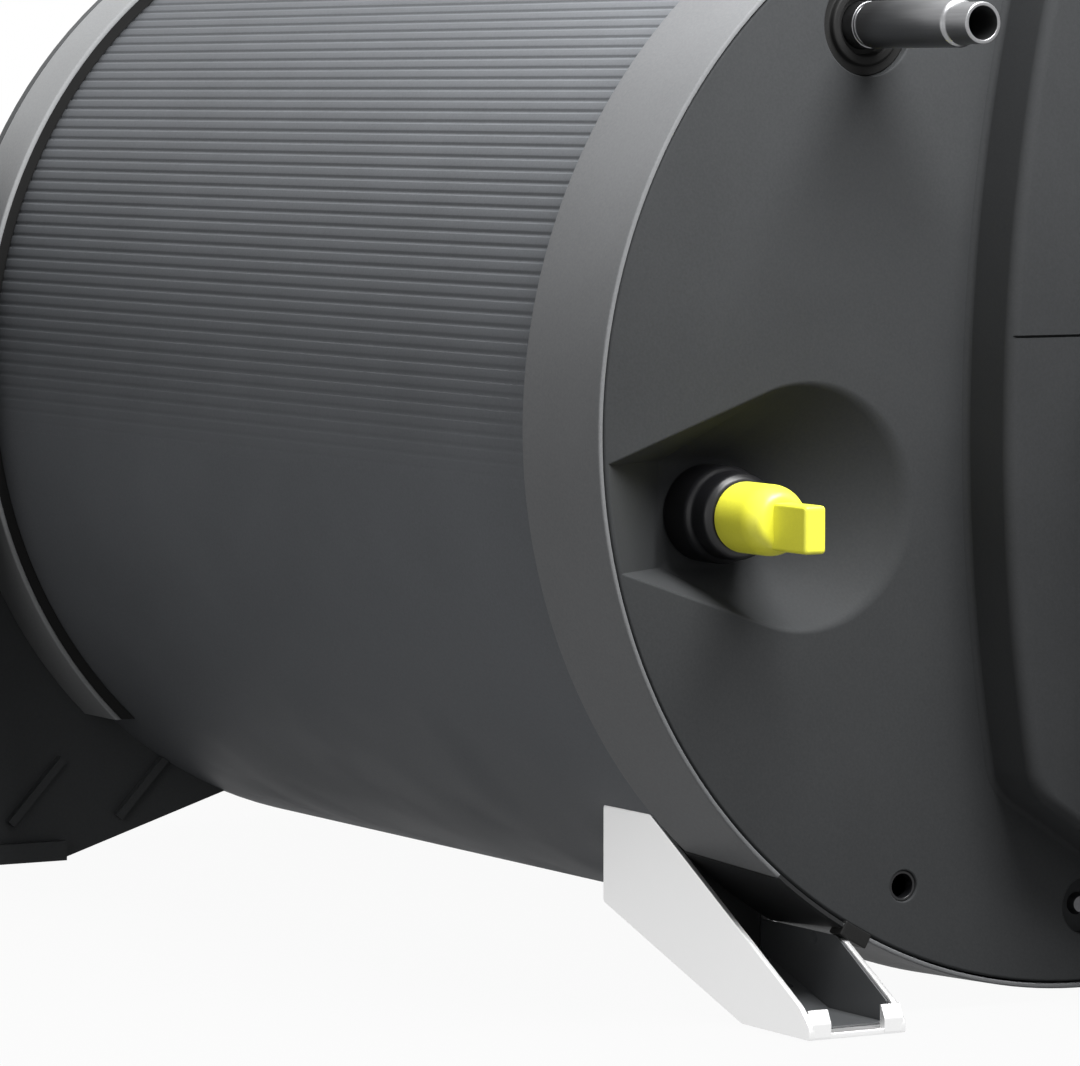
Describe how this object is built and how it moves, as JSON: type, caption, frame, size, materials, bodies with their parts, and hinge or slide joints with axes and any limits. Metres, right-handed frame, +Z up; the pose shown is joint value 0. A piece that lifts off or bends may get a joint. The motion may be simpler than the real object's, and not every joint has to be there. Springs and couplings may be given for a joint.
{
  "type": "caravan water heater",
  "caption": "Drum-shaped caravan gas water and warm-air heater on feet, with ribbed shell, collars, end panel, duct outlets, capped water port and fan end.",
  "frame": {"origin": "on the floor under the middle of the overall box", "axes": "+X along the drum towards the warm-air outlets, +Z up, -Y to the front box with the flue"},
  "size_m": [0.51, 0.45, 0.3],
  "materials": {
    "drum_plastic": "satin grey expanded plastic with fine ribs",
    "collar_plastic": "satin light grey",
    "panel_plastic": "matte dark grey",
    "housing_plastic": "matte black",
    "fitting_plastic": "matte black",
    "cap_plastic": "satin yellow",
    "button_plastic": "satin red",
    "socket_plastic": "satin ivory",
    "board": "satin green",
    "seal_rubber": "matte black",
    "steel": "brushed",
    "cast_alloy": "satin as cast",
    "brass": "satin",
    "bracket_sheet": "satin bright zinc"
  },
  "bodies": {
    "heater": {"upper_shell": "drum_plastic", "lower_shell": "drum_plastic", "front_collar": "collar_plastic", "rear_collar": "collar_plastic", "end_panel": "panel_plastic", "connection_cup": "panel_plastic", "warm_air_hood": "panel_plastic", "burner_housing": "housing_plastic", "fan_cover": "housing_plastic", "front_box": "housing_plastic", "box_cover": "housing_plastic", "warm_air_outlet_1": "fitting_plastic", "warm_air_outlet_2": "fitting_plastic", "warm_air_outlet_3": "fitting_plastic", "warm_air_outlet_4": "fitting_plastic", "cold_water_nut": "fitting_plastic", "fan_motor": "fitting_plastic", "blower_motor": "fitting_plastic", "reset_switch": "fitting_plastic", "gas_solenoids": "fitting_plastic", "control_sockets": "socket_plastic", "ignition_electrode": "socket_plastic", "control_board": "board", "rim_seal": "seal_rubber", "hot_water_grommet": "seal_rubber", "cold_water_pipe": "steel", "hot_water_pipe": "steel", "tank_outer_wall": "steel", "tank_inner_wall": "steel", "tank_front_end": "steel", "tank_rear_end": "steel", "burner_tube": "steel", "exhaust_pipe": "steel", "panel_screws": "steel", "hood_screws": "steel", "fan_cover_screws": "steel", "box_cover_screws": "steel", "box_screws": "steel", "socket_screws": "steel", "bracket_screws": "steel", "heat_exchanger": "cast_alloy", "burner_head": "cast_alloy", "mixture_pipe": "cast_alloy", "exhaust_socket": "cast_alloy", "blower_housing": "cast_alloy", "gas_valve": "cast_alloy", "gas_nut": "brass", "gas_pipe": "brass", "gas_feed_pipe": "brass", "bracket_front": "bracket_sheet", "bracket_rear": "bracket_sheet"},
    "circulation_fan": {"fan_wheel": "housing_plastic", "fan_shaft": "steel"},
    "combustion_fan": {"blower_wheel": "housing_plastic", "blower_shaft": "steel"},
    "reset": {"reset_button": "button_plastic"},
    "water_cap": {"cold_water_cap": "cap_plastic"}
  },
  "joints": [
    {"name": "circulation_fan_spin", "type": "hinge", "parent": "heater", "child": "circulation_fan", "pos_m": [-0.239, 0.0755, 0.1505], "axis": [1, 0, 0], "continuous": true},
    {"name": "combustion_fan_spin", "type": "hinge", "parent": "heater", "child": "combustion_fan", "pos_m": [-0.204, -0.1375, 0.058], "axis": [1, 0, 0], "continuous": true},
    {"name": "reset_press", "type": "slide", "parent": "heater", "child": "reset", "axis": [1, 0, 0], "range_m": [0, 0.0015], "stiffness_N_per_m": 400, "springref_m": -0.002},
    {"name": "water_cap_pull", "type": "slide", "parent": "heater", "child": "water_cap", "axis": [1, 0, 0], "range_m": [0, 0.04]}
  ]
}
